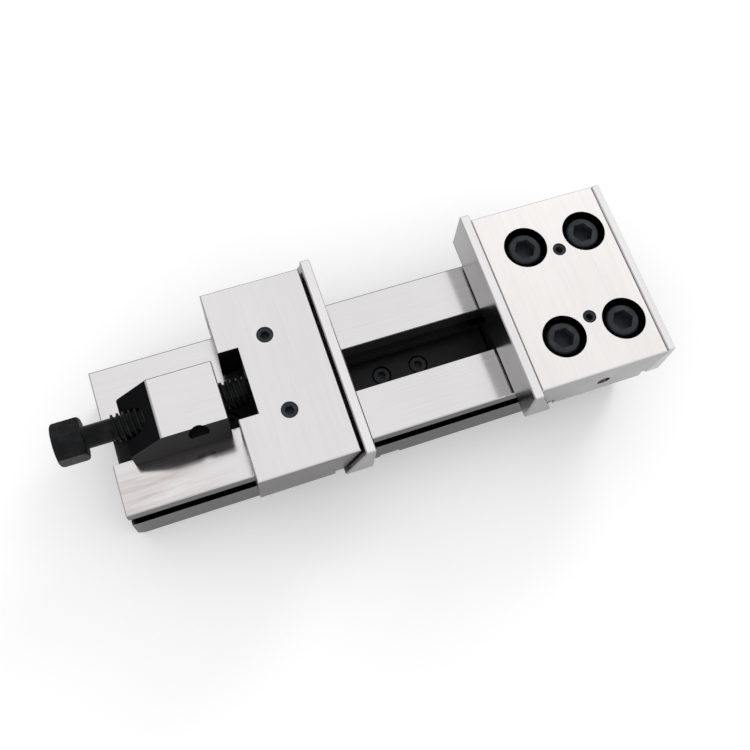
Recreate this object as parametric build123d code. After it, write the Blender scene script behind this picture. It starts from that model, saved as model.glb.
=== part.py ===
from build123d import *
import os

# Modular machine vise. X runs from the spindle end to the fixed jaw, Y across, Z up.
# Sizes along X count from the spindle end of the base, and the finished pieces are moved so that
# the origin lies on the underside, below the middle of the whole vise.

# Base
base_length = 392.0
base_width = 110.0
base_height = 58.0
base_edge = 0.8
base_end_chamfer = 5.0
side_groove_bottom = 30.0
side_groove_top = 46.0
side_groove_depth = 6.0
slot_width = 34.6
slot_end = 296.0
slot_neck_width = 24.0
slot_neck_top = 40.0
slot_neck_bottom = 32.0
slot_floor = 12.0
keyway_width = 16.0
keyway_depth = 4.0

# Index rail in the slot
rail_thickness = 12.0
rail_end_gap = 3.0
rail_side_gap = 0.1
rail_screw_first_x = 26.9
rail_screw_pitch = 30.0
rail_screw_count = 8

# Jaw plates: thin at the top, with a sloped back and a wide foot
plate_width = 150.0
plate_height = 40.0
plate_thickness = 7.5
plate_foot = 21.0
plate_lift = 3.0
plate_land = 5.0
plate_edge = 0.8
rear_plate_width = 141.0
rear_plate_thickness = 6.0
rear_plate_foot = 12.0

# Jaw bodies
body_edge = 0.7
toe_relief = 4.0
toe_relief_height = 8.0
fixed_face_x = 288.7
fixed_body_length = 98.6
fixed_body_width = 141.0
fixed_body_height = 42.2
moving_body_x = 90.6
moving_body_length = 72.1
moving_body_width = 142.0
moving_body_height = 40.7
moving_joint_gap = 2.2
moving_pad_width = 128.0
moving_pad_bottom = 8.0
moving_pad_drop = 8.0

# Fixed jaw fixings
main_screw_front = 30.9
main_screw_back = 20.6
main_screw_pitch_y = 74.4
main_screw_sink = 2.5
main_thread_depth = 30.0
stop_bore_radius = 5.0
stop_bore_drop = 25.0
stop_bore_depth = 55.0
fixed_grub_pitch_y = 56.6
dowel_radius = 5.0
dowel_length = 24.0
dowel_pitch_y = 88.0
fixed_plate_screw_pitch_y = 122.0
fixed_plate_screw_drop = 12.5
fixed_head_sink = 14.0
rear_plate_screw_pitch_y = 92.0
rear_plate_screw_drop = 28.0
rear_screw_hold = 10.0

# Movable jaw fixings
notch_depth = 14.7
notch_width = 50.6
moving_grub_x = 35.0
moving_grub_pitch_y = 57.8
moving_plate_screw_pitch_y = 100.0
moving_plate_screw_drop = 18.0
moving_head_sink = 10.0
key_end_gap = 1.5
key_screw_inset = 9.0
key_screw_hold = 10.0

# Spindle block
block_x = 15.3
block_length = 69.7
block_width = 44.2
block_height = 40.0
block_slope_length = 23.7
block_slope_drop = 21.0
foot_thickness = 7.0
foot_length = 60.0
foot_corner = 1.5
foot_screw_pitch = 36.0
foot_screw_hold = 10.0
port_radius = 7.2
port_depth = 8.0
port_tilt = 60.0
port_from_front = 21.5
port_drop = 11.0

# Spindle
spindle_height = 24.0
thread_radius = 10.0
thread_start_x = 8.3
thread_end_gap = 1.0
neck_radius = 8.0
head_length = 20.0
head_back_x = -30.0
head_flats = 27.0
head_corner = 2.5
nut_radius = 12.0
nut_length = 40.0
journal_radius = 7.0
journal_length = 26.0
journal_edge = 1.0
collar_radius = 11.0
collar_width = 8.0
collar_pin_radius = 1.5
collar_pin_setback = 0.5
thrust_plate_width = 40.0
thrust_plate_height = 27.0
thrust_plate_thickness = 6.0
thrust_plate_edge = 0.6
thrust_screw_pitch = 28.0
thrust_screw_hold = 8.0
washer_thickness = 2.0

# Clearances
slide_gap = 0.1
running_gap = 0.05
thread_gap = 0.05
neck_gap = 0.2
foot_gap = 0.4
tenon_gap = 0.3
collar_gap = 0.3
press_gap = 0.02
screw_end_gap = 0.5
drill_extra = 2.0
plate_wall = 4.0
cut_over = 1.0

# Screw sizes: shank radius, head radius, head height, hexagon socket across flats
M16 = (8.0, 12.0, 16.0, 14.0)
M8 = (4.0, 6.5, 8.0, 6.0)
M6 = (3.0, 5.0, 6.0, 5.0)
M5 = (2.5, 4.25, 5.0, 4.0)
main_bore_extra = 4.2
small_bore_extra = 1.0
shank_extra = 0.4
grub_fixed = (5.0, 12.0, 5.0)
grub_moving = (6.0, 12.0, 6.0)
grub_sink = 0.8

# Shares of a screw's own size
head_rim_share = 0.06
socket_floor_share = 0.45
sunk_socket_floor_share = 0.8
sunk_socket_share = 0.7
grub_point_share = 0.4

# Places that follow from the sizes above
half_base = base_width / 2
half_slot = slot_width / 2
half_neck = slot_neck_width / 2
base_top = base_height
jaw_floor = base_top + slide_gap
plate_bottom = base_top + plate_lift
plate_top = plate_bottom + plate_height
fixed_body_x = fixed_face_x + plate_thickness
fixed_body_end = fixed_body_x + fixed_body_length
fixed_body_top = base_top + fixed_body_height
rear_face_x = fixed_body_end + rear_plate_thickness
moving_body_end = moving_body_x + moving_body_length
moving_body_top = base_top + moving_body_height
moving_plate_x = moving_body_end + moving_joint_gap
moving_face_x = moving_plate_x + plate_thickness
moving_toe_x = moving_face_x - plate_foot - moving_joint_gap - toe_relief
rail_top = slot_floor + rail_thickness
rail_seat_z = rail_top - M8[2] - screw_end_gap
block_end = block_x + block_length
block_top = base_top + block_height
foot_top = slot_neck_bottom - foot_gap
foot_bottom = foot_top - foot_thickness
axis_z = base_top + spindle_height
notch_wall_x = moving_body_x + notch_depth
thread_end_x = notch_wall_x - thread_end_gap
thrust_pocket_x = notch_wall_x + thrust_plate_thickness
collar_x = thrust_pocket_x + washer_thickness + slide_gap
collar_pocket_end = collar_x + collar_width + slide_gap
key_range = (notch_wall_x + key_end_gap, moving_toe_x - key_end_gap)
main_screw_x = (fixed_body_x + main_screw_front, fixed_body_end - main_screw_back)
main_seat_z = fixed_body_top - main_screw_sink - M16[2]
stop_bore_x = sum(main_screw_x) / 2
stop_bore_z = fixed_body_top - stop_bore_drop
fixed_plate_screw_z = fixed_body_top - fixed_plate_screw_drop
rear_plate_screw_z = fixed_body_top - rear_plate_screw_drop
moving_plate_screw_z = moving_body_top - moving_plate_screw_drop
moving_grub_place_x = moving_body_x + moving_grub_x
origin_x = (head_back_x + rear_face_x) / 2
sides = (-1, 1)
toward_spindle = (-1, 0, 0)
toward_jaw = (1, 0, 0)
up = (0, 0, 1)
down = (0, 0, -1)


def slab(x_range, y_range, z_range):
    """Block between two planes on each axis."""
    ranges = (x_range, y_range, z_range)
    lows = [low for low, high in ranges]
    size = [high - low for low, high in ranges]
    return Pos(*lows) * Box(*size, align=(Align.MIN, Align.MIN, Align.MIN))


def rod(start, direction, radius, length):
    """Cylinder that runs from a point in a direction."""
    axis = Plane(origin=start, z_dir=direction)
    return axis * Cylinder(radius, length, align=(Align.CENTER, Align.CENTER, Align.MIN))


def hexagon(start, direction, across_flats, length):
    """Hexagonal prism that runs from a point in a direction."""
    axis = Plane(origin=start, z_dir=direction)
    return axis * extrude(RegularPolygon(across_flats / 2, 6, major_radius=False), length)


def shifted(point, direction, distance):
    """The point moved along a direction."""
    return tuple(p + d * distance for p, d in zip(point, direction))


def cap_screw(seat, outward, size, shank_length):
    """Socket-head screw whose head stands outward from its seat."""
    shank_radius, head_radius, head_height, socket = size
    inward = tuple(-d for d in outward)
    head = rod(seat, outward, head_radius, head_height)
    rim = head.faces().sort_by(Axis(seat, outward))[-1].edges()
    head = chamfer(rim, head_height * head_rim_share)
    shank = rod(seat, inward, shank_radius, shank_length)
    mouth = shifted(seat, outward, head_height * socket_floor_share)
    return head + shank - hexagon(mouth, outward, socket, head_height)


def cap_screw_bore(seat, outward, size, bore_extra, through_length, open_length):
    """Counterbore and clearance hole for a cap screw, cut from its seat both ways."""
    shank_radius, head_radius = size[:2]
    inward = tuple(-d for d in outward)
    bore = rod(seat, outward, head_radius + bore_extra, open_length)
    return bore + rod(seat, inward, shank_radius + shank_extra, through_length)


def countersink(face_point, outward, size, length):
    """Cone and shank of a flush countersunk screw, which is also the seat that it goes into."""
    shank_radius, head_radius = size[:2]
    inward = tuple(-d for d in outward)
    cone_height = head_radius - shank_radius
    cone = Plane(origin=face_point, z_dir=inward) * Cone(
        head_radius, shank_radius, cone_height, align=(Align.CENTER, Align.CENTER, Align.MIN)
    )
    return cone + rod(face_point, inward, shank_radius, length)


def countersunk_screw(face_point, outward, size, length):
    """Flush countersunk screw; its face point is the middle of the head."""
    shank_radius, head_radius, _, socket = size
    inward = tuple(-d for d in outward)
    cone_height = head_radius - shank_radius
    socket_floor = shifted(face_point, inward, cone_height * sunk_socket_floor_share)
    socket_cut = hexagon(socket_floor, outward, socket * sunk_socket_share, cone_height)
    return countersink(face_point, outward, size, length) - socket_cut


def grub_screw(top_point, size):
    """Upright set screw with a hexagon socket and a coned point."""
    radius, length, socket = size
    body = rod(shifted(top_point, (0, 0, -1), length), (0, 0, 1), radius, length)
    point = body.faces().sort_by(Axis.Z)[0].edges()
    body = chamfer(point, radius * grub_point_share)
    socket_floor = shifted(top_point, (0, 0, -1), length * socket_floor_share)
    return body - hexagon(socket_floor, (0, 0, 1), socket, length)


def make_base():
    """Bed with a stepped slot along its top, a clamping groove on each side and keyways below."""
    groove_y = half_base - side_groove_depth
    right = [
        (half_base, 0),
        (half_base, side_groove_bottom),
        (groove_y, side_groove_bottom),
        (groove_y, side_groove_top),
        (half_base, side_groove_top),
        (half_base, base_top),
    ]
    left = [(-y, z) for y, z in reversed(right)]
    section = Plane.YZ * make_face(Polyline(*right, *left, close=True))
    base = extrude(section, base_length)
    top_edges = base.faces().sort_by(Axis.Z)[-1].edges()
    base = chamfer(top_edges, base_edge)
    bottom_ends = base.faces().sort_by(Axis.Z)[0].edges().filter_by(Axis.Y)
    base = chamfer(bottom_ends, base_end_chamfer)
    slot_x = (-cut_over, slot_end)
    above = base_top + cut_over
    base -= slab(slot_x, (-half_slot, half_slot), (slot_neck_top, above))
    base -= slab(slot_x, (-half_neck, half_neck), (slot_floor, above))
    base -= slab(slot_x, (-half_slot, half_slot), (slot_floor, slot_neck_bottom))
    half_key = keyway_width / 2
    middle_x = base_length / 2
    key_z = (-cut_over, keyway_depth)
    base -= slab((-cut_over, base_length + cut_over), (-half_key, half_key), key_z)
    base -= slab((middle_x - half_key, middle_x + half_key), (-half_base, half_base), key_z)
    for x in rail_screw_places():
        base -= rod((x, 0, slot_floor), down, M8[0], slot_floor)
    for x, y in main_screw_places():
        base -= rod((x, y, base_top), down, M16[0], main_thread_depth)
    for y in dowel_places():
        base -= rod((stop_bore_x, y, base_top), down, dowel_radius, dowel_length / 2)
    return base


def rail_screw_places():
    """X of each screw that holds the index rail."""
    return [rail_screw_first_x + i * rail_screw_pitch for i in range(rail_screw_count)]


def main_screw_places():
    """X and Y of the four screws that hold the fixed jaw."""
    return [(x, side * main_screw_pitch_y / 2) for x in main_screw_x for side in sides]


def pair(pitch):
    """The two places on either side of the middle."""
    return [side * pitch / 2 for side in sides]


def dowel_places():
    """Y of the two dowels under the fixed jaw."""
    return pair(dowel_pitch_y)


def make_index_rail():
    """Hardened strip on the floor of the slot, with a counterbore for each screw."""
    half = half_slot - rail_side_gap
    rail = slab((rail_end_gap, slot_end - rail_end_gap), (-half, half), (slot_floor, rail_top))
    for x in rail_screw_places():
        seat = (x, 0, rail_seat_z)
        rail -= cap_screw_bore(seat, up, M8, small_bore_extra, rail_thickness, rail_thickness)
    return rail


def make_rail_screws():
    """Cap screws along the index rail."""
    length = rail_seat_z - keyway_depth - screw_end_gap
    return [cap_screw((x, 0, rail_seat_z), up, M8, length) for x in rail_screw_places()]


def back_line(face_x, inward, thickness, foot):
    """The sloped back of a plate, as X and Z from its top edge to its foot."""
    thin_x = face_x + inward * thickness
    foot_x = face_x + inward * foot
    return [(thin_x, plate_top), (thin_x, plate_top - plate_land), (foot_x, plate_bottom)]


def back_x(line, z):
    """X of a plate's sloped back at a height below its land."""
    (top_x, land_z), (foot_x, foot_z) = line[1:]
    return top_x + (foot_x - top_x) * (land_z - z) / (land_z - foot_z)


fixed_back = back_line(fixed_face_x, 1, plate_thickness, plate_foot)
moving_back = back_line(moving_face_x, -1, plate_thickness, plate_foot)
rear_back = back_line(rear_face_x, -1, rear_plate_thickness, rear_plate_foot)


def across(outline, width):
    """Solid whose outline in X and Z runs across the vise."""
    return extrude(Plane.XZ * make_face(Polyline(*outline, close=True)), width / 2, both=True)


def break_plate_edges(plate, line):
    """Plate with its edges broken, apart from the inner corner where its land meets its slope."""
    land_x, land_z = line[1]
    corner = Vector(land_x, 0, land_z)
    edges = [edge for edge in plate.edges() if (edge.center() - corner).length > plate_edge]
    return chamfer(edges, plate_edge)


def make_plate(face_x, line, width, screw_pitch, screw_z, inward):
    """Hardened jaw plate with a sloped back and two holes tapped into it from behind."""
    plate = across([(face_x, plate_bottom), (face_x, plate_top), *line], width)
    plate = break_plate_edges(plate, line)
    for y in pair(screw_pitch):
        hole_end = (face_x + inward * plate_wall, y, screw_z)
        plate -= rod(hole_end, (inward, 0, 0), M8[0], plate_foot)
    return plate


def jaw_outline(x_range, top, front, back=None):
    """Outline of a jaw body between two sloped lines, or a line and a plain end."""
    points = toe_points(front, top, x_range)
    if back:
        return points + list(reversed(toe_points(back, top, x_range)))
    plain_x = x_range[0]
    return points + [(plain_x, jaw_floor), (plain_x, top)]


def toe_points(line, top, x_range):
    """Body's points along a plate's back, from its top down to the relief at its toe."""
    top_x = line[0][0]
    land = line[1]
    middle = sum(x_range) / 2
    inward = 1 if middle > top_x else -1
    relief_z = jaw_floor + toe_relief_height
    slope_x = back_x(line, relief_z)
    toe_x = line[2][0] + inward * toe_relief
    return [(top_x, top), land, (slope_x, relief_z), (toe_x, relief_z), (toe_x, jaw_floor)]


def make_fixed_jaw_body():
    """Fixed jaw: four counterbored main screws, stop-rod bores and plate fixings."""
    x_range = (fixed_body_x, fixed_body_end)
    outline = jaw_outline(x_range, fixed_body_top, fixed_back, rear_back)
    body = across(outline, fixed_body_width)
    body = chamfer(outer_edges(body, fixed_body_top), body_edge)
    for x, y in main_screw_places():
        seat = (x, y, main_seat_z)
        body -= cap_screw_bore(seat, up, M16, main_bore_extra, main_seat_z, 2 * M16[2])
    for side in sides:
        mouth = (stop_bore_x, side * (fixed_body_width / 2 + cut_over), stop_bore_z)
        body -= rod(mouth, (0, -side, 0), stop_bore_radius, stop_bore_depth + cut_over)
        grub_y = side * fixed_grub_pitch_y / 2
        body -= rod((stop_bore_x, grub_y, stop_bore_z), up, grub_fixed[0], fixed_body_height)
    for y in pair(fixed_plate_screw_pitch_y):
        seat = (fixed_body_end - fixed_head_sink, y, fixed_plate_screw_z)
        sink = fixed_head_sink + cut_over
        body -= cap_screw_bore(seat, toward_jaw, M8, small_bore_extra, fixed_body_length, sink)
    for y in pair(rear_plate_screw_pitch_y):
        body -= rod((fixed_body_end, y, rear_plate_screw_z), toward_spindle, M8[0], rear_screw_reach())
    for y in dowel_places():
        body -= rod((stop_bore_x, y, base_top), up, dowel_radius, dowel_length / 2)
    return body


def outer_edges(body, top):
    """The edges round the top face, which are broken on a ground body."""
    return body.faces().filter_by(Axis.Z).sort_by(Axis.Z)[-1].edges()


def rear_screw_reach():
    """How far the rear plate's screws go in past the body's end."""
    return fixed_body_end - back_x(rear_back, rear_plate_screw_z) + rear_screw_hold


def make_rear_plate():
    """Plate on the back of the fixed jaw, held by two countersunk screws."""
    plate = across([(rear_face_x, plate_bottom), (rear_face_x, plate_top), *rear_back], rear_plate_width)
    plate = break_plate_edges(plate, rear_back)
    for y in pair(rear_plate_screw_pitch_y):
        plate -= countersink((rear_face_x, y, rear_plate_screw_z), toward_jaw, M8, 2 * rear_plate_foot)
    return plate


def make_rear_plate_screws():
    """Countersunk screws of the rear plate."""
    length = rear_plate_thickness + rear_screw_reach()
    places = [(rear_face_x, y, rear_plate_screw_z) for y in pair(rear_plate_screw_pitch_y)]
    return [countersunk_screw(place, toward_jaw, M8, length) for place in places]


def make_fixed_plate_screws():
    """Long screws that draw the front plate against the fixed jaw from behind."""
    seat_x = fixed_body_end - fixed_head_sink
    length = seat_x - fixed_face_x - plate_wall
    places = [(seat_x, y, fixed_plate_screw_z) for y in pair(fixed_plate_screw_pitch_y)]
    return [cap_screw(place, toward_jaw, M8, length) for place in places]


def make_moving_jaw_body():
    """Movable jaw: rear notch for the spindle block, thrust pocket, pad behind the plate."""
    gapped = [(x - moving_joint_gap, z) for x, z in moving_back]
    outline = jaw_outline((moving_body_x, moving_body_end), moving_body_top, gapped)
    body = across(outline, moving_body_width)
    body = chamfer(outer_edges(body, moving_body_top), body_edge)
    body += make_pad()
    half_notch = notch_width / 2
    notch_x = (moving_body_x - cut_over, notch_wall_x)
    body -= slab(notch_x, (-half_notch, half_notch), (0, moving_body_top + cut_over))
    half_plate = thrust_plate_width / 2 + press_gap
    half_height = thrust_plate_height / 2 + press_gap
    pocket_z = (axis_z - half_height, axis_z + half_height)
    body -= slab((notch_wall_x, thrust_pocket_x), (-half_plate, half_plate), pocket_z)
    pocket = (thrust_pocket_x, 0, axis_z)
    body -= rod(pocket, toward_jaw, collar_radius + collar_gap, collar_pocket_end - thrust_pocket_x)
    body -= rod(pocket, toward_jaw, journal_radius + running_gap, journal_length)
    for y in pair(thrust_screw_pitch):
        body -= rod((thrust_pocket_x, y, axis_z), toward_jaw, M5[0], thrust_screw_hold)
    for y in pair(moving_grub_pitch_y):
        start = (moving_grub_place_x, y, moving_body_top + cut_over)
        depth = grub_moving[1] + grub_sink + drill_extra + cut_over
        body -= rod(start, down, grub_moving[0], depth)
    for y in pair(moving_plate_screw_pitch_y):
        seat = (moving_body_x + moving_head_sink, y, moving_plate_screw_z)
        sink = moving_head_sink + cut_over
        body -= cap_screw_bore(seat, toward_spindle, M8, small_bore_extra, moving_body_length, sink)
    for x in key_screw_places():
        body -= rod((x, 0, jaw_floor), up, M8[0], key_screw_hold)
    return body


def make_pad():
    """Raised seat on the movable jaw's slope, which carries its plate inside the open joint."""
    low = jaw_floor + toe_relief_height + moving_pad_bottom
    high = moving_body_top - moving_pad_drop
    seat = [(back_x(moving_back, z), z) for z in (low, high)]
    root = [(x - 2 * moving_joint_gap, z) for x, z in reversed(seat)]
    return across(seat + root, moving_pad_width)


def make_moving_plate_screws():
    """Long screws that draw the plate against the movable jaw from behind."""
    seat_x = moving_body_x + moving_head_sink
    length = moving_face_x - plate_wall - seat_x
    places = [(seat_x, y, moving_plate_screw_z) for y in pair(moving_plate_screw_pitch_y)]
    return [cap_screw(place, toward_spindle, M8, length) for place in places]


def key_screw_places():
    """X of the screws that hold the guide key and its foot."""
    return (key_range[0] + key_screw_inset, key_range[1] - key_screw_inset)


def make_guide_key():
    """Stepped key under the movable jaw that runs in the upper slot and reaches through its neck."""
    half = half_slot - slide_gap
    key = slab(key_range, (-half, half), (slot_neck_top + tenon_gap, jaw_floor))
    key = chamfer(key.edges().filter_by(Axis.Z), foot_corner)
    neck_half = half_neck - neck_gap
    key += slab(key_range, (-neck_half, neck_half), (foot_top, jaw_floor))
    for x in key_screw_places():
        key -= rod((x, 0, foot_top), up, M8[0], base_top)
    return key


def make_jaw_foot():
    """Foot under the guide key that catches below the neck of the slot."""
    half = half_slot - neck_gap
    foot = slab(key_range, (-half, half), (foot_bottom, foot_top))
    foot = chamfer(foot.edges().filter_by(Axis.Z), foot_corner)
    for x in key_screw_places():
        foot -= countersink((x, 0, foot_bottom), down, M8, foot_thickness)
    return foot


def make_key_screws():
    """Countersunk screws that go through the foot and the key into the movable jaw."""
    length = jaw_floor - foot_bottom + key_screw_hold
    return [countersunk_screw((x, 0, foot_bottom), down, M8, length) for x in key_screw_places()]


def make_block():
    """Spindle block with a sloped back, a tenon in the slot and a round port in its side."""
    half = block_width / 2
    outline = [
        (block_x, jaw_floor),
        (block_end, jaw_floor),
        (block_end, block_top),
        (block_x + block_slope_length, block_top),
        (block_x, block_top - block_slope_drop),
    ]
    block = across(outline, block_width)
    block = chamfer(block.edges(), body_edge)
    tenon_half = half_slot - slide_gap
    tenon_z = (slot_neck_top + tenon_gap, jaw_floor + body_edge)
    block += slab((block_x, block_end), (-tenon_half, tenon_half), tenon_z)
    neck_half = half_neck - neck_gap
    block += slab(foot_range(), (-neck_half, neck_half), (foot_top, jaw_floor))
    bore_length = block_length + 2 * cut_over
    block -= rod((block_x - cut_over, 0, axis_z), toward_jaw, thread_radius + thread_gap, bore_length)
    block -= rod((block_end, 0, axis_z), toward_spindle, nut_radius, nut_length)
    tilt = Vector(0, 1, 0).rotate(Axis.X, -port_tilt)
    port_centre = Vector(block_end - port_from_front, -half, block_top - port_drop)
    mouth = port_centre - tilt * (2 * port_radius)
    block -= rod(mouth, tilt, port_radius, 2 * port_radius + port_depth)
    for x in foot_screw_places():
        block -= rod((x, 0, foot_top), up, M6[0], foot_screw_hold)
    return block


def foot_range():
    """X from end to end of the block's foot."""
    middle = (block_x + block_end) / 2
    return (middle - foot_length / 2, middle + foot_length / 2)


def foot_screw_places():
    """X of the screws that hold the block's foot."""
    middle = (block_x + block_end) / 2
    return [middle + offset for offset in pair(foot_screw_pitch)]


def make_block_foot():
    """Foot under the block that catches below the neck of the slot."""
    half = half_slot - neck_gap
    foot = slab(foot_range(), (-half, half), (foot_bottom, foot_top))
    foot = chamfer(foot.edges().filter_by(Axis.Z), foot_corner)
    for x in foot_screw_places():
        foot -= countersink((x, 0, foot_bottom), down, M6, foot_thickness)
    return foot


def make_foot_screws():
    """Countersunk screws that hold the foot to the block's neck."""
    length = foot_thickness + foot_screw_hold
    return [countersunk_screw((x, 0, foot_bottom), down, M6, length) for x in foot_screw_places()]


def make_nut():
    """Threaded bush pressed into the front of the block."""
    nut = rod((block_end, 0, axis_z), toward_spindle, nut_radius - press_gap, nut_length)
    return nut - rod((block_end, 0, axis_z), toward_spindle, thread_radius + thread_gap, nut_length)


def make_spindle():
    """Spindle with a hexagon head, a turned neck, its threaded length and a plain journal."""
    head_end_x = head_back_x + head_length
    head = hexagon((head_back_x, 0, axis_z), toward_jaw, head_flats, head_length)
    corner_radius = RegularPolygon(head_flats / 2, 6, major_radius=False).radius
    blank = rod((head_back_x, 0, axis_z), toward_jaw, corner_radius, head_length)
    rims = blank.edges().filter_by(GeomType.CIRCLE)
    spindle = head & chamfer(rims, head_corner)
    spindle += rod((head_end_x, 0, axis_z), toward_jaw, neck_radius, thread_start_x - head_end_x)
    thread_length = thread_end_x - thread_start_x
    spindle += rod((thread_start_x, 0, axis_z), toward_jaw, thread_radius, thread_length)
    journal = rod((thread_end_x, 0, axis_z), toward_jaw, journal_radius, journal_length)
    tip = journal.faces().sort_by(Axis.X)[-1].edges()
    spindle += chamfer(tip, journal_edge)
    return spindle - pin_bore()


def pin_bore():
    """Hole for the collar's pin, across the collar and the journal."""
    pin_x = collar_x + collar_width / 2
    return rod((pin_x, 0, axis_z - collar_radius), up, collar_pin_radius, 2 * collar_radius)


def make_collar():
    """Collar pinned on the journal, which draws the jaw back with the spindle."""
    ring = rod((collar_x, 0, axis_z), toward_jaw, collar_radius, collar_width)
    ring -= rod((collar_x, 0, axis_z), toward_jaw, journal_radius, collar_width)
    return ring - pin_bore()


def make_collar_pin():
    """Straight pin through the collar and the journal."""
    pin_x = collar_x + collar_width / 2
    half = collar_radius - collar_pin_setback
    return rod((pin_x, 0, axis_z - half), up, collar_pin_radius - press_gap, 2 * half)


def make_thrust_plate():
    """Plate set flush in the notch wall, which holds the collar in its pocket."""
    half = thrust_plate_width / 2
    half_height = thrust_plate_height / 2
    z_range = (axis_z - half_height, axis_z + half_height)
    plate = slab((notch_wall_x, thrust_pocket_x), (-half, half), z_range)
    plate = chamfer(plate.faces().sort_by(Axis.X)[0].edges(), thrust_plate_edge)
    bore = journal_radius + collar_gap
    plate -= rod((notch_wall_x, 0, axis_z), toward_jaw, bore, thrust_plate_thickness)
    for y in pair(thrust_screw_pitch):
        plate -= countersink((notch_wall_x, y, axis_z), toward_spindle, M5, thrust_plate_thickness)
    return plate


def make_thrust_screws():
    """Countersunk screws of the thrust plate."""
    length = thrust_plate_thickness + thrust_screw_hold
    places = [(notch_wall_x, y, axis_z) for y in pair(thrust_screw_pitch)]
    return [countersunk_screw(place, toward_spindle, M5, length) for place in places]


def make_thrust_washer():
    """Bronze washer between the thrust plate and the collar."""
    start = (thrust_pocket_x, 0, axis_z)
    washer = rod(start, toward_jaw, collar_radius, washer_thickness)
    return washer - rod(start, toward_jaw, journal_radius + collar_gap, washer_thickness)


def write(name, shapes):
    """Saves one named piece, or a group of like pieces, as a STEP file."""
    pieces = shapes if isinstance(shapes, list) else [shapes]
    pieces = [Pos(-origin_x, 0, 0) * piece for piece in pieces]
    shape = Compound(children=pieces) if len(pieces) > 1 else pieces[0]
    shape.label = name
    export_step(shape, f"parts/{name}.step")


def write_base_body():
    """The bed and all that is bolted to it."""
    write("base", make_base())
    write("index_rail", make_index_rail())
    write("index_rail_screws", make_rail_screws())
    write("fixed_jaw_body", make_fixed_jaw_body())
    screw_place = (fixed_plate_screw_pitch_y, fixed_plate_screw_z)
    write("fixed_jaw_plate", make_plate(fixed_face_x, fixed_back, plate_width, *screw_place, 1))
    write("rear_jaw_plate", make_rear_plate())
    write("rear_jaw_plate_screws", make_rear_plate_screws())
    write("fixed_jaw_plate_screws", make_fixed_plate_screws())
    shank = main_seat_z - base_top + main_thread_depth - drill_extra
    for number, (x, y) in enumerate(main_screw_places(), start=1):
        write(f"fixed_jaw_screw_{number}", cap_screw((x, y, main_seat_z), up, M16, shank))
    for number, y in enumerate(pair(fixed_grub_pitch_y), start=1):
        top = (stop_bore_x, y, fixed_body_top - grub_sink)
        write(f"stop_rod_set_screw_{number}", grub_screw(top, grub_fixed))
    start_z = base_top - dowel_length / 2
    places = [(stop_bore_x, y, start_z) for y in dowel_places()]
    dowels = [rod(place, up, dowel_radius - press_gap, dowel_length) for place in places]
    write("fixed_jaw_dowels", dowels)


def write_moving_bodies():
    """The movable jaw, the spindle block and the spindle."""
    write("movable_jaw_body", make_moving_jaw_body())
    screw_place = (moving_plate_screw_pitch_y, moving_plate_screw_z)
    write("movable_jaw_plate", make_plate(moving_face_x, moving_back, plate_width, *screw_place, -1))
    write("movable_jaw_plate_screws", make_moving_plate_screws())
    for number, y in enumerate(pair(moving_grub_pitch_y), start=1):
        top = (moving_grub_place_x, y, moving_body_top - grub_sink)
        write(f"movable_jaw_set_screw_{number}", grub_screw(top, grub_moving))
    write("guide_key", make_guide_key())
    write("jaw_foot", make_jaw_foot())
    write("guide_key_screws", make_key_screws())
    write("thrust_plate", make_thrust_plate())
    write("thrust_plate_screws", make_thrust_screws())
    write("thrust_washer", make_thrust_washer())
    write("spindle_block", make_block())
    write("spindle_block_foot", make_block_foot())
    write("spindle_block_foot_screws", make_foot_screws())
    write("spindle_nut", make_nut())
    write("spindle", make_spindle())
    write("spindle_collar", make_collar())
    write("spindle_collar_pin", make_collar_pin())


os.makedirs("parts", exist_ok=True)
write_base_body()
write_moving_bodies()
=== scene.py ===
import math

import bpy
from mathutils import Matrix, Vector


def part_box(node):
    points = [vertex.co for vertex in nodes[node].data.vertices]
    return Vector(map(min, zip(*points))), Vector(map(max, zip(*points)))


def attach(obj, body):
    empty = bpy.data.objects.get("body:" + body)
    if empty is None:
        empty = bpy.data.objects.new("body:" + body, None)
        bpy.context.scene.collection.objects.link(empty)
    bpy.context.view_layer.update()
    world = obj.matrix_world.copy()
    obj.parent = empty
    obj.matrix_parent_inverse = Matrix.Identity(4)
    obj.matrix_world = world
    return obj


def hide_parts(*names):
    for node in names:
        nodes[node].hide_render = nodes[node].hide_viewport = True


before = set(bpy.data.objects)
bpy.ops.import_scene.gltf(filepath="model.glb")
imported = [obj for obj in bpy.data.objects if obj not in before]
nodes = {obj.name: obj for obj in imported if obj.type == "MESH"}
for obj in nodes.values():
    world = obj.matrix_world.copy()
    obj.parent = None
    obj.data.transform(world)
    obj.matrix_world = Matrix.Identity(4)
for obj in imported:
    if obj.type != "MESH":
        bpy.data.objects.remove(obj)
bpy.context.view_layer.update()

MM = 0.001

# Lowest and highest corners of CAD nodes
BASE_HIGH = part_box("base")[1]
SPINDLE_LOW, SPINDLE_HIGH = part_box("spindle")
BLOCK_LOW, BLOCK_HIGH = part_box("spindle_block")

# Camera at the photograph's viewpoint: place, directions, focal length and centre in picture pixels
PICTURE = 750.0
SENSOR = 36.0
CAMERA_PLACE = Vector((-0.11075, -0.23974, 0.74934))
CAMERA_FORWARD = Vector((0.19212, 0.31686, -0.92881))
CAMERA_RIGHT = Vector((0.93922, -0.33378, 0.0804))
FOCAL_PIXELS = 1004.4
CENTRE_PIXELS = (400.0, 360.0)

# Surroundings
WORLD_LEVEL = 0.92
HORIZON_COLOUR = (0.62, 0.62, 0.64, 1.0)
OVERHEAD_COLOUR = (0.97, 0.965, 0.97, 1.0)
OVERHEAD_START = 0.75

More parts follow.
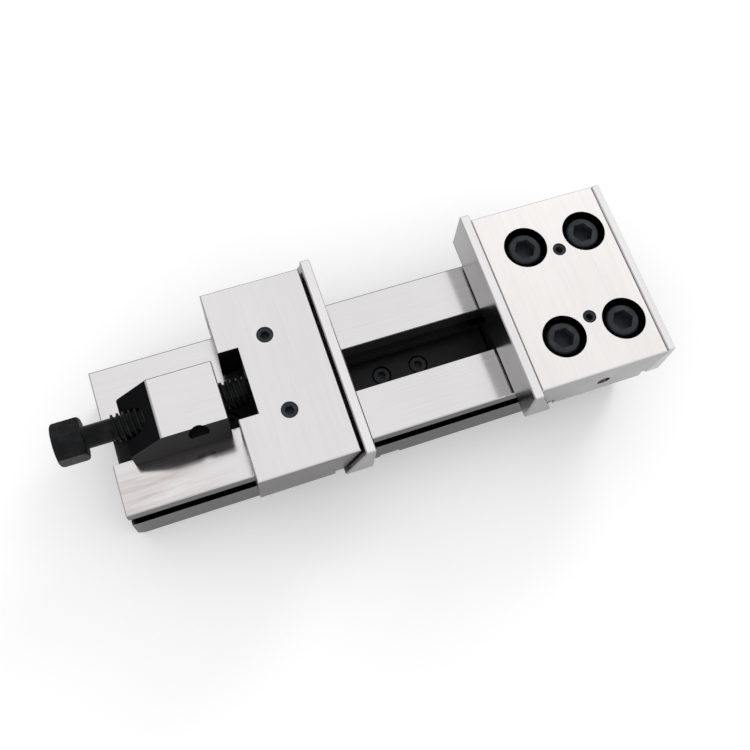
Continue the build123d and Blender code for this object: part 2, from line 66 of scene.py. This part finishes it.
# Lights: name, place, size in metres, power in watts
LIGHT_TARGET = (0.0, 0.0, 0.05)
LIGHTS = (
    ("far_key", (1.7, 1.5, 1.2), 0.8, 14.0),
    ("left_fill", (-1.8, -0.6, 1.2), 1.4, 4.0),
)

# Floor
FLOOR_HALF = 3.0
FLOOR_LIFT = 0.16
FLOOR_ROUGH = 0.9
FLOOR_SHINE = 0.2
FLOOR_TONES = ((0.93, 0.93, 0.93), (0.95, 0.95, 0.95))
FLOOR_MOTTLE = 3.0

# Spindle form, in millimetres, as in the solids
PITCH = 4.0
THREAD_RADIUS = 10.0
THREAD_ROOT = 7.9
NECK_RADIUS = 8.0
NECK_LENGTH = 18.3
NECK_FILLET = 0.8
JOURNAL_RADIUS = 7.0
JOURNAL_LENGTH = 26.0
JOURNAL_EDGE = 1.0
HEAD_FLATS = 27.0
HEAD_LENGTH = 20.0
HEAD_CHAMFER = 2.5
THREAD_RUN_IN = 1.5

# Thread profile, in shares of the pitch, and its lowest height at the ends, in shares of its depth
THREAD_CREST = 0.37
THREAD_FLANK = 0.13
THREAD_START = 0.05

# Fineness of the spindle's mesh
STEPS_PER_PITCH = 16
STEPS_ROUND = 96
HEAD_STEPS = 6
SMOOTH_DEGREES = 28

# Grinding lines: noise scale across and along them, and what they do
FINE_LINES = 900.0
LONG_LINES = 14.0
LINE_BRIGHTNESS = (0.97, 1.02)
LINE_ROUGHNESS = (-0.03, 0.04)
LINE_BUMP = (0.03, 0.00005)
SOFT_RANGE = (0.3, 0.7)
NOISE_ROUGH = 0.55

# Blotches on the sides and clouds on ground tops
BLOTCH_SCALE = 22.0
SIDE_SHADE = 0.72
CLOUD_SCALE = 9.0
CLOUD_STRETCH = (1.0, 0.5, 1.0)
CLOUD_RANGE = (0.35, 0.7)
CLOUD_AMOUNT = 0.55
TOP_SHADE = 0.88

# How far a face looks up before it counts as a top. Tops take the light top tone and sides the darker
# side tone, as painted light and shade, and far edges lean towards the side tone as painted shade lines
FAR_EDGE_LEAN = 0.15
EDGES_UP = (0.66, 0.8)
TOPS_UP = (0.9, 0.97)

# Tones of steel. The three top tones are lit copies of one steel, painted light that differs from part
# to part
JAW_ROUGH = 0.3
PLATE_ROUGH = 0.22
TOP_TONE = (0.85, 0.832, 0.835)
PLATE_TOP_TONE = (0.92, 0.905, 0.90)
FIXED_TOP_TONE = (0.94, 0.915, 0.895)
# Near-black painted shade for the screws' wells, the notch and the port, also used on the block's slope
DEEP_BLACK = (0.008, 0.008, 0.009)
EDGE_WIDTH = 0.6 * MM

# Side tone, top tone and roughness of the jaws' bodies and plates. The side tones are painted shade,
# darker on the parts whose sides get less light, and the top tones are painted light
JAW_LOOKS = {
    "fixed_jaw_body": ((0.40, 0.39, 0.39), FIXED_TOP_TONE, JAW_ROUGH),
    "fixed_jaw_plate": ((0.36, 0.35, 0.35), PLATE_TOP_TONE, PLATE_ROUGH),
    "rear_jaw_plate": ((0.52, 0.51, 0.51), PLATE_TOP_TONE, PLATE_ROUGH),
    "movable_jaw_body": ((0.17, 0.158, 0.16), TOP_TONE, JAW_ROUGH),
    "movable_jaw_plate": ((0.34, 0.33, 0.33), PLATE_TOP_TONE, PLATE_ROUGH),
    "thrust_plate": ((0.36, 0.355, 0.36), TOP_TONE, JAW_ROUGH),
}

# Screws that stand upright in the jaw bodies' tops
TOP_SCREWS = {
    "fixed_jaw_body": (
        *(f"fixed_jaw_screw_{n}" for n in range(1, 5)),
        *(f"stop_rod_set_screw_{n}" for n in (1, 2)),
    ),
    "movable_jaw_body": tuple(f"movable_jaw_set_screw_{n}" for n in (1, 2)),
}
# Reach and top rim of the near-black painted shade on the walls of the screws' wells
WELL_MARGIN = 5.0 * MM
WELL_RIM = 0.4 * MM

# Notch in the movable jaw's back, painted near-black as shade
NOTCH_HALF = 25.4 * MM
NOTCH_DEPTH = 15.0 * MM

# Bed: a side tone that is painted shade, near-black painted shade in the slot and side grooves, a
# painted highlight at the slot's mouth, and brownish painted shade in streaks beside the block near the
# left corner
BED_SIDE_SHADE = (0.065, 0.065, 0.065)
BED_ROUGH = 0.14
BED_SHINE = 0.1
BED_SIDE_METAL = 0.4
SLOT_SHADE_BLACK = (0.035, 0.035, 0.037)
SLOT_HALF = 17.45 * MM
# Depth and tone of a painted highlight band at the slot's mouth, in place of a lit chamfer
SLOT_HIGHLIGHT_DEPTH = 2.0 * MM
SLOT_HIGHLIGHT_TONE = (0.45, 0.45, 0.46)
GROOVE_BOTTOM, GROOVE_TOP = 29.9 * MM, 46.1 * MM
GROOVE_MOUTH = 54.8 * MM
# Brownish painted shade streaks beside the block's near side: tone, reach along X and Y, stretch, range
# and strength
SHADE_STREAK_TONE = (0.60, 0.52, 0.49)
SHADE_STREAK_START_X, SHADE_STREAK_END_X = -0.15, -0.10
SHADE_STREAK_START_Y, SHADE_STREAK_END_Y = -0.030, -0.022
SHADE_STREAK_STRETCH = (22.0, 190.0, 22.0)
SHADE_STREAK_RANGE = (0.38, 0.66)
SHADE_STREAK_AMOUNT = 0.7

# Spindle block: sides in dark painted shade, a near-black slope, and near-black painted shade in its
# port
BLOCK_SIDE_SHADE = (0.045, 0.043, 0.043)
BLOCK_SLOPE = 23.6 * MM
PORT_FROM_FRONT = 21.5 * MM
PORT_RADIUS = 7.3 * MM

# Black oxide: rubbed patches and fine grain
PATCH_SCALE = 120.0
PATCH_RANGE = (0.45, 0.75)
RUBBED_GAIN = 2.2
RUBBED_LIFT = 0.01
GRAIN_SCALE = 900.0
GRAIN_ROUGHNESS = (-0.08, 0.1)
GRAIN_BUMP = (0.12, 0.0001)

# Bronze
BRONZE_ROUGH = 0.32
BRONZE_TONES = ((0.60, 0.38, 0.17), (0.72, 0.50, 0.26))
RING_STRETCH = (2600.0, 30.0, 30.0)
RING_BUMP = (0.1, 0.0001)


def add_object(name, data):
    """A new object in the scene."""
    thing = bpy.data.objects.new(name, data)
    bpy.context.scene.collection.objects.link(thing)
    return thing


def make_camera():
    """The camera that matches the photograph."""
    data = bpy.data.cameras.new("camera")
    data.sensor_width = SENSOR
    data.lens = FOCAL_PIXELS / PICTURE * SENSOR
    data.shift_x = (PICTURE / 2 - CENTRE_PIXELS[0]) / PICTURE
    data.shift_y = (CENTRE_PIXELS[1] - PICTURE / 2) / PICTURE
    camera = add_object("camera", data)
    back = -CAMERA_FORWARD.normalized()
    right = (CAMERA_RIGHT - CAMERA_RIGHT.project(back)).normalized()
    up = back.cross(right)
    turned = Matrix((right, up, back)).transposed().to_4x4()
    camera.matrix_world = Matrix.Translation(CAMERA_PLACE) @ turned
    bpy.context.scene.camera = camera


def make_world():
    """Pale studio surroundings, brighter overhead than at the horizon."""
    world = bpy.data.worlds.new("studio")
    bpy.context.scene.world = world
    world.use_nodes = True
    tree = world.node_tree
    background = tree.nodes["Background"]
    coordinates = tree.nodes.new("ShaderNodeTexCoord")
    split = tree.nodes.new("ShaderNodeSeparateXYZ")
    ramp = tree.nodes.new("ShaderNodeValToRGB")
    horizon, overhead = ramp.color_ramp.elements
    horizon.position = 0.0
    horizon.color = HORIZON_COLOUR
    overhead.position = OVERHEAD_START
    overhead.color = OVERHEAD_COLOUR
    tree.links.new(coordinates.outputs["Generated"], split.inputs[0])
    tree.links.new(split.outputs["Z"], ramp.inputs[0])
    tree.links.new(ramp.outputs[0], background.inputs["Color"])
    background.inputs["Strength"].default_value = WORLD_LEVEL


def make_lights():
    """A soft key panel from the far right and a weak one from the left."""
    for name, place, size, watts in LIGHTS:
        data = bpy.data.lights.new(name, "AREA")
        data.shape = "SQUARE"
        data.size = size
        data.energy = watts
        light = add_object(name, data)
        light.location = place
        direction = Vector(LIGHT_TARGET) - Vector(place)
        light.rotation_euler = direction.to_track_quat("-Z", "Y").to_euler()


class Shader:
    """A node material under construction, with short calls for the nodes it uses."""

    def __init__(self, name, metallic, roughness):
        self.material = bpy.data.materials.new(name)
        self.material.use_nodes = True
        self.tree = self.material.node_tree
        self.bsdf = self.tree.nodes["Principled BSDF"]
        self.bsdf.inputs["Metallic"].default_value = metallic
        self.bsdf.inputs["Roughness"].default_value = roughness
        self.coordinates = self.tree.nodes.new("ShaderNodeTexCoord")
        self.x, self.y, self.z = self.parts_of("Object")

    def link(self, source, target):
        """Joins an output to an input."""
        self.tree.links.new(source, target)

    def parts_of(self, coordinate):
        """The three parts of one of the object's own coordinates."""
        split = self.tree.nodes.new("ShaderNodeSeparateXYZ")
        self.link(self.coordinates.outputs[coordinate], split.inputs[0])
        return [split.outputs[key] for key in "XYZ"]

    def math(self, operation, a, b=None, clamp=False):
        """A sum of two sockets or numbers."""
        node = self.tree.nodes.new("ShaderNodeMath")
        node.operation = operation
        node.use_clamp = clamp
        for socket, value in zip(node.inputs, (a, b)):
            if value is None:
                continue
            if isinstance(value, (int, float)):
                socket.default_value = value
            else:
                self.link(value, socket)
        return node.outputs[0]

    def both(self, first, *others):
        """1 where all of the masks are 1."""
        for other in others:
            first = self.math("MULTIPLY", first, other)
        return first

    def below(self, socket, limit):
        """1 where a coordinate lies below a value."""
        return self.math("LESS_THAN", socket, limit)

    def inside(self, socket, low, high):
        """1 where a coordinate lies between two values."""
        return self.both(self.math("GREATER_THAN", socket, low), self.below(socket, high))

    def noise(self, scale, stretch=(1, 1, 1), detail=3.0):
        """Noise in the object's own coordinates."""
        mapping = self.tree.nodes.new("ShaderNodeMapping")
        mapping.inputs["Scale"].default_value = stretch
        self.link(self.coordinates.outputs["Object"], mapping.inputs["Vector"])
        node = self.tree.nodes.new("ShaderNodeTexNoise")
        node.inputs["Scale"].default_value = scale
        node.inputs["Detail"].default_value = detail
        node.inputs["Roughness"].default_value = NOISE_ROUGH
        self.link(mapping.outputs[0], node.inputs["Vector"])
        return node.outputs["Fac"]

    def spread(self, value, low, high, to_low=0.0, to_high=1.0):
        """A value's range from low to high, drawn out to another range."""
        node = self.tree.nodes.new("ShaderNodeMapRange")
        numbers = {"From Min": low, "From Max": high, "To Min": to_low, "To Max": to_high}
        for key, number in numbers.items():
            node.inputs[key].default_value = number
        self.link(value, node.inputs["Value"])
        return node.outputs[0]

    def mix(self, factor, a, b):
        """Colour a where the factor is 0 and colour b where it is 1."""
        node = self.tree.nodes.new("ShaderNodeMix")
        node.data_type = "RGBA"
        self.link(factor, node.inputs[0])
        for socket, value in ((node.inputs[6], a), (node.inputs[7], b)):
            if isinstance(value, tuple):
                socket.default_value = (*value, 1.0)
            else:
                self.link(value, socket)
        return node.outputs[2]

    def brighten(self, colour, factor):
        """A colour times a factor."""
        node = self.tree.nodes.new("ShaderNodeVectorMath")
        node.operation = "SCALE"
        self.link(colour, node.inputs[0])
        self.link(factor, node.inputs["Scale"])
        return node.outputs[0]

    def colour(self, socket):
        """Gives the surface its colour."""
        self.link(socket, self.bsdf.inputs["Base Color"])

    def roughness(self, socket):
        """Gives the surface its roughness."""
        self.link(socket, self.bsdf.inputs["Roughness"])

    def metal(self, socket):
        """Makes the surface metal where the mask is 1."""
        self.link(socket, self.bsdf.inputs["Metallic"])

    def shine(self, level):
        """Strength of the reflections where the surface isn't metal."""
        self.bsdf.inputs["Specular IOR Level"].default_value = level

    def bump(self, height, strength, distance):
        """Fine relief from a noise."""
        node = self.tree.nodes.new("ShaderNodeBump")
        node.inputs["Strength"].default_value = strength
        node.inputs["Distance"].default_value = distance
        self.link(height, node.inputs["Height"])
        self.link(node.outputs[0], self.bsdf.inputs["Normal"])

    def facing_up(self, low, high):
        """1 on faces that look up in the object's own frame, 0 on its sides and on far edges."""
        _, normal_y, normal_z = self.parts_of("Normal")
        lean = self.math("MULTIPLY", normal_y, FAR_EDGE_LEAN)
        return self.spread(self.math("SUBTRACT", normal_z, lean), low, high)

    def near_axes(self, wells):
        """1 close to any of the upright axes in a list of (x, y, radius)."""
        found = 0.0
        for place_x, place_y, radius in wells:
            along = self.math("POWER", self.math("SUBTRACT", self.x, place_x), 2.0)
            across = self.math("POWER", self.math("SUBTRACT", self.y, place_y), 2.0)
            close = self.below(self.math("ADD", along, across), radius ** 2)
            found = self.math("MAXIMUM", close, found)
        return found


def wells_of(names):
    """The upright axis of each screw in a list of nodes, with its outer radius and a margin."""
    wells = []
    for name in names:
        low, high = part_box(name)
        middle = (low + high) / 2
        wells.append((middle.x, middle.y, (high.y - low.y) / 2 + WELL_MARGIN))
    return wells


def ground_steel(name, along, side_tone, top_tone=TOP_TONE, rough=JAW_ROUGH, up=EDGES_UP):
    """Ground steel: fine lines one way, soft blotches, and sides darker than the tops as painted shade.
    """
    shader = Shader(name, 1.0, rough)
    stretch = (FINE_LINES, LONG_LINES, FINE_LINES)
    if along == "X":
        stretch = (LONG_LINES, FINE_LINES, FINE_LINES)
    lines = shader.noise(1.0, stretch, detail=4.0)
    blotch = shader.noise(BLOTCH_SCALE, detail=2.0)
    cloud = shader.noise(CLOUD_SCALE, CLOUD_STRETCH)
    top_shade = tuple(c * TOP_SHADE for c in top_tone)
    top = shader.mix(shader.spread(cloud, *CLOUD_RANGE, 0.0, CLOUD_AMOUNT), top_tone, top_shade)
    dark_side = tuple(c * SIDE_SHADE for c in side_tone)
    side = shader.mix(shader.spread(blotch, *SOFT_RANGE), side_tone, dark_side)
    # Painted light and shade: up-facing faces take the top tone, sides and far edges the side tone
    tone = shader.mix(shader.facing_up(*up), side, top)
    tone = shader.brighten(tone, shader.spread(lines, *SOFT_RANGE, *LINE_BRIGHTNESS))
    shader.roughness(shader.math("ADD", shader.spread(lines, *SOFT_RANGE, *LINE_ROUGHNESS), rough))
    shader.bump(lines, *LINE_BUMP)
    return shader, tone


def base_steel():
    """The bed: bright ways on top, sides in dark painted shade, near-black painted shade in the slot
    and side grooves, a painted highlight at the slot's mouth and brownish painted shade streaks near
    the left corner.
    """
    shader, tone = ground_steel("bed_steel", "X", BED_SIDE_SHADE, rough=BED_ROUGH)
    up = shader.facing_up(*EDGES_UP)
    # Sides less metal, as part of their painted shade
    shader.metal(shader.spread(up, 0.0, 1.0, BED_SIDE_METAL, 1.0))
    shader.shine(BED_SHINE)
    # Painted shade: brownish streaks along X on the top, beside the block's near side towards the left
    # corner
    streaks = shader.spread(shader.noise(1.0, SHADE_STREAK_STRETCH), *SHADE_STREAK_RANGE, 0.0, SHADE_STREAK_AMOUNT)
    left = shader.spread(shader.x, SHADE_STREAK_END_X, SHADE_STREAK_START_X)
    near = shader.spread(shader.y, SHADE_STREAK_END_Y, SHADE_STREAK_START_Y)
    tone = shader.mix(shader.both(streaks, up, left, near), tone, SHADE_STREAK_TONE)
    across = shader.math("ABSOLUTE", shader.y)
    slot_width = shader.below(across, SLOT_HALF)
    highlight_bottom = BASE_HIGH.z - SLOT_HIGHLIGHT_DEPTH
    in_slot = shader.both(slot_width, shader.below(shader.z, highlight_bottom))
    groove_height = shader.inside(shader.z, GROOVE_BOTTOM, GROOVE_TOP)
    in_groove = shader.both(groove_height, shader.below(across, GROOVE_MOUTH))
    # Painted highlight: a lighter band at the top of the slot's walls
    slot_highlight = shader.both(shader.inside(shader.z, highlight_bottom, BASE_HIGH.z - EDGE_WIDTH), slot_width)
    tone = shader.mix(slot_highlight, tone, SLOT_HIGHLIGHT_TONE)
    # Painted shade: the slot and the side grooves near-black
    shader.colour(shader.mix(shader.math("MAXIMUM", in_slot, in_groove), tone, SLOT_SHADE_BLACK))
    return shader.material


def jaw_steel(node, side_tone, top_tone, rough):
    """A jaw body or plate, with near-black painted shade on the walls in the wells of its upright
    screws and in its notch.
    """
    shader, tone = ground_steel(f"{node}_steel", "Y", side_tone, top_tone, rough)
    below_top = shader.below(shader.z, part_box(node)[1].z - WELL_RIM)
    wells = wells_of(TOP_SCREWS.get(node, ()))
    if wells:
        # Painted shade: near-black walls in the screws' wells
        tone = shader.mix(shader.both(below_top, shader.near_axes(wells)), tone, DEEP_BLACK)
    if node == "movable_jaw_body":
        # Painted shade: the notch near-black and not metal
        deep = shader.below(shader.x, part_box(node)[0].x + NOTCH_DEPTH)
        notch = shader.both(shader.inside(shader.y, -NOTCH_HALF, NOTCH_HALF), deep, below_top)
        tone = shader.mix(notch, tone, DEEP_BLACK)
        shader.metal(shader.math("SUBTRACT", 1.0, notch))
        shader.shine(0.0)
    shader.colour(tone)
    return shader.material


def block_steel():
    """The spindle block: a ground top over sides in dark painted shade, with a near-black slope and
    near-black painted shade in its port.
    """
    shader, tone = ground_steel("block_steel", "X", BLOCK_SIDE_SHADE, up=TOPS_UP)
    # Near-black slope, and near-black painted shade inside the port
    slope = shader.below(shader.x, BLOCK_LOW.x + BLOCK_SLOPE)
    port_x = BLOCK_HIGH.x - PORT_FROM_FRONT
    port = shader.inside(shader.x, port_x - PORT_RADIUS, port_x + PORT_RADIUS)
    inner = shader.inside(shader.y, BLOCK_LOW.y + EDGE_WIDTH, BLOCK_HIGH.y - EDGE_WIDTH)
    below_top = shader.below(shader.z, BLOCK_HIGH.z - EDGE_WIDTH)
    dark = shader.both(shader.math("MAXIMUM", slope, port), inner, below_top)
    # Painted shade: all below the top takes the dark side tone, and only the top is metal
    tone = shader.mix(below_top, tone, BLOCK_SIDE_SHADE)
    shader.colour(shader.mix(dark, tone, DEEP_BLACK))
    shader.metal(shader.math("SUBTRACT", shader.facing_up(*TOPS_UP), below_top, clamp=True))
    shader.shine(0.0)
    return shader.material


def black_steel(name, tone, rough, speckle, shine):
    """Oiled black oxide with faint rubbed patches."""
    shader = Shader(name, 0.0, rough)
    shader.shine(shine)
    patch = shader.noise(PATCH_SCALE, detail=4.0)
    grain = shader.noise(GRAIN_SCALE, detail=2.0)
    rubbed = tuple(c * RUBBED_GAIN + RUBBED_LIFT for c in tone)
    shader.colour(shader.mix(shader.spread(patch, *PATCH_RANGE, 0.0, speckle), tone, rubbed))
    smooth, dull = (rough + change for change in GRAIN_ROUGHNESS)
    shader.roughness(shader.spread(grain, *SOFT_RANGE, smooth, dull))
    shader.bump(grain, *GRAIN_BUMP)
    return shader.material


def bronze():
    """Turned bronze with fine tool rings."""
    shader = Shader("turned_bronze", 1.0, BRONZE_ROUGH)
    rings = shader.noise(1.0, RING_STRETCH, detail=2.0)
    shader.colour(shader.mix(shader.spread(rings, *SOFT_RANGE), *BRONZE_TONES))
    shader.bump(rings, *RING_BUMP)
    return shader.material


def floor_white():
    """Plain pale floor, lifted towards white where the camera or the metal sees it."""
    shader = Shader("pale_floor", 0.0, FLOOR_ROUGH)
    rays = shader.tree.nodes.new("ShaderNodeLightPath").outputs
    seen = shader.math("ADD", rays["Is Camera Ray"], rays["Is Glossy Ray"], clamp=True)
    shader.link(shader.math("MULTIPLY", seen, FLOOR_LIFT), shader.bsdf.inputs["Emission Strength"])
    shader.bsdf.inputs["Emission Color"].default_value = (1.0, 1.0, 1.0, 1.0)
    mottle = shader.noise(FLOOR_MOTTLE, detail=2.0)
    shader.colour(shader.mix(shader.spread(mottle, *SOFT_RANGE), *FLOOR_TONES))
    shader.shine(FLOOR_SHINE)
    return shader.material


def make_floor():
    """Floor that the vise stands on."""
    mesh = bpy.data.meshes.new("floor")
    signs = ((-1, -1), (1, -1), (1, 1), (-1, 1))
    corners = [(x * FLOOR_HALF, y * FLOOR_HALF, 0) for x, y in signs]
    mesh.from_pydata(corners, [], [(0, 1, 2, 3)])
    floor = add_object("floor", mesh)
    mesh.materials.append(floor_white())


def set_material(name, material):
    """Puts a material on every slot of a CAD node."""
    data = nodes[name].data
    if not data.materials:
        data.materials.append(material)
    for index in range(len(data.materials)):
        data.materials[index] = material


def dress_nodes():
    """A material for every CAD node."""
    screws = black_steel("screw_black", (0.020, 0.024, 0.029), 0.32, 0.5, 0.2)
    rail = black_steel("rail_black", (0.010, 0.010, 0.011), 0.42, 0.3, 0.25)
    bush = bronze()
    chosen = {name: jaw_steel(name, *look) for name, look in JAW_LOOKS.items()}
    chosen["base"] = base_steel()
    chosen["spindle_block"] = block_steel()
    for name in ("index_rail", "guide_key", "jaw_foot", "spindle_block_foot"):
        chosen[name] = rail
    for name in ("fixed_jaw_dowels", "spindle_collar", "spindle_collar_pin"):
        chosen[name] = chosen["thrust_plate"]
    for name in ("spindle_nut", "thrust_washer"):
        chosen[name] = bush
    for name in nodes:
        set_material(name, chosen.get(name, screws))


def grid_mesh(name, rings):
    """Closed skin over a list of rings of equal length, with a flat cap at each end."""
    count = len(rings[0])
    vertices = [point for ring in rings for point in ring]
    faces = []
    for row in range(len(rings) - 1):
        for k in range(count):
            a = row * count + k
            b = row * count + (k + 1) % count
            faces.append((a, b, b + count, a + count))
    faces.append(tuple(reversed(range(count))))
    last = (len(rings) - 1) * count
    faces.append(tuple(range(last, last + count)))
    mesh = bpy.data.meshes.new(name)
    mesh.from_pydata(vertices, [], faces)
    mesh.validate()
    return add_object(name, mesh)


def hexagon_radius(angle):
    """Distance from the middle to the side of the head's hexagon."""
    sector = (angle + math.pi / 6) % (math.pi / 3) - math.pi / 6
    return HEAD_FLATS / 2 / math.cos(sector)


def thread_radius(x, angle):
    """Radius of a right-hand trapezoidal thread."""
    depth = THREAD_RADIUS - THREAD_ROOT
    phase = (x / PITCH - angle / (2 * math.pi)) % 1.0
    if phase < THREAD_CREST:
        return THREAD_RADIUS
    if phase < THREAD_CREST + THREAD_FLANK:
        return THREAD_RADIUS - depth * (phase - THREAD_CREST) / THREAD_FLANK
    if phase < 1.0 - THREAD_FLANK:
        return THREAD_ROOT
    return THREAD_ROOT + depth * (phase - 1.0 + THREAD_FLANK) / THREAD_FLANK


def make_spindle():
    """The whole spindle with its hexagon head and its cut thread."""
    axis_z = (SPINDLE_LOW.z + SPINDLE_HIGH.z) / 2 / MM
    start = SPINDLE_LOW.x / MM
    end = SPINDLE_HIGH.x / MM
    head_end = start + HEAD_LENGTH
    thread_start = head_end + NECK_LENGTH
    thread_end = end - JOURNAL_LENGTH
    thread_length = thread_end - thread_start
    angles = [2 * math.pi * k / STEPS_ROUND for k in range(STEPS_ROUND)]
    rings = []

    def ring(x, radius_at):
        """Adds a ring at one place along the axis."""
        radii = [radius_at(a) for a in angles]
        rings.append([
            (x * MM, r * math.cos(a) * MM, (axis_z + r * math.sin(a)) * MM)
            for a, r in zip(angles, radii)
        ])

    corner = HEAD_FLATS / 2 / math.cos(math.pi / 6)
    turns = [math.radians(90 * step / HEAD_STEPS) for step in range(HEAD_STEPS + 1)]
    for face, inward, order in ((start, 1, turns), (head_end, -1, turns[::-1])):
        for turn in order:
            limit = corner - HEAD_CHAMFER * (1 - math.sin(turn))
            x = face + inward * HEAD_CHAMFER * (1 - math.cos(turn))
            ring(x, lambda a, limit=limit: min(hexagon_radius(a), limit))
    ring(head_end, lambda a: NECK_RADIUS + NECK_FILLET)
    ring(head_end + NECK_FILLET, lambda a: NECK_RADIUS)
    ring(thread_start, lambda a: NECK_RADIUS)
    count = int(thread_length / PITCH * STEPS_PER_PITCH)
    for step in range(count + 1):
        x = thread_start + thread_length * step / count
        to_end = min(x - thread_start, thread_end - x)
        cut_share = min(1.0, to_end / THREAD_RUN_IN + THREAD_START)
        cap = THREAD_ROOT + (THREAD_RADIUS - THREAD_ROOT) * cut_share
        ring(x, lambda a, x=x, cap=cap: min(thread_radius(x, a), cap))
    ring(thread_end, lambda a: JOURNAL_RADIUS)
    ring(end - JOURNAL_EDGE, lambda a: JOURNAL_RADIUS)
    ring(end, lambda a: JOURNAL_RADIUS - JOURNAL_EDGE)
    piece = grid_mesh("threaded_spindle", rings)
    for polygon in piece.data.polygons:
        polygon.use_smooth = len(polygon.vertices) == 4
    piece.data.set_sharp_from_angle(angle=math.radians(SMOOTH_DEGREES))
    piece.data.materials.append(black_steel("spindle_black", (0.006, 0.0065, 0.007), 0.34, 0.6, 0.08))
    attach(piece, "spindle")
    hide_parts("spindle")


bpy.context.scene.view_settings.view_transform = "Standard"
make_camera()
make_world()
make_lights()
make_floor()
dress_nodes()
make_spindle()
